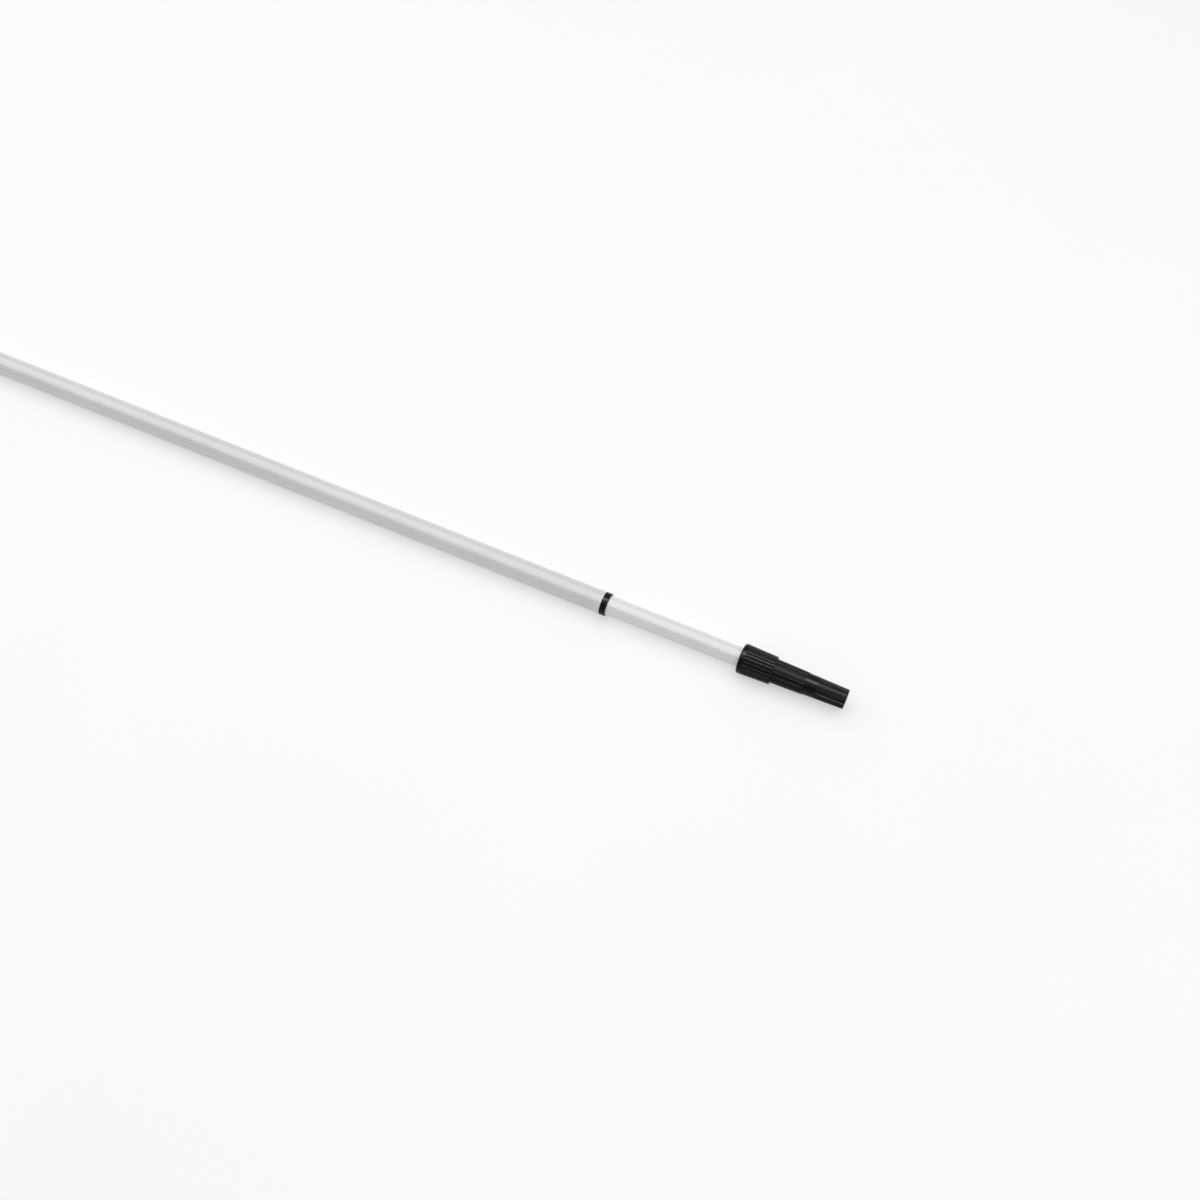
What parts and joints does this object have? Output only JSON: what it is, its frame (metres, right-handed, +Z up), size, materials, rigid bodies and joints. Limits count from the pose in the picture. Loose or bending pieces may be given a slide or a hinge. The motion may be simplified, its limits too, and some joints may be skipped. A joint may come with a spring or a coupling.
{
  "type": "roller extension pole",
  "caption": "Telescopic paint roller pole: white steel tubes that slide and twist to lock, black guide collar, ribbed tapered tip, hand grip with hanging eye.",
  "frame": {"origin": "on the surface that the pole lies on, below the middle of its length as it lies", "axes": "+X along the pole towards the tapered tip, +Z up"},
  "size_m": [1.2654, 0.0288, 0.0288],
  "materials": {
    "outer_paint": "gloss",
    "inner_paint": "gloss",
    "black_plastic": "satin",
    "grip_plastic": "matt",
    "lock_plastic": "satin",
    "sleeve_plastic": "satin",
    "zinc_steel": "zinc plated"
  },
  "bodies": {
    "outer_pole": {"outer_tube": "outer_paint", "guide_collar": "black_plastic", "hand_grip": "grip_plastic", "end_cap": "black_plastic"},
    "lock_sleeve": {"expander_sleeve": "sleeve_plastic"},
    "inner_pole": {"inner_tube": "inner_paint", "taper_tip": "black_plastic", "ribbed_ferrule": "black_plastic", "lock_plug": "lock_plastic", "stop_washer": "zinc_steel", "stop_screw": "zinc_steel"},
    "lock_cone": {"cone_nut": "lock_plastic"}
  },
  "joints": [
    {"name": "pole_slide", "type": "slide", "parent": "outer_pole", "child": "lock_sleeve", "axis": [1, 0, 0], "range_m": [-0.132, 0.743]},
    {"name": "twist_lock", "type": "hinge", "parent": "lock_sleeve", "child": "inner_pole", "pos_m": [0, 0, 0.01438], "axis": [1, 0, 0], "range_deg": [0, 360]},
    {"name": "cone_travel", "type": "slide", "parent": "lock_sleeve", "child": "lock_cone", "axis": [1, 0, 0], "range_m": [-0.003, 0]}
  ],
  "couplings": [
    {"joint": "cone_travel", "follows": "twist_lock", "m_per_rad": -0.00047746}
  ]
}
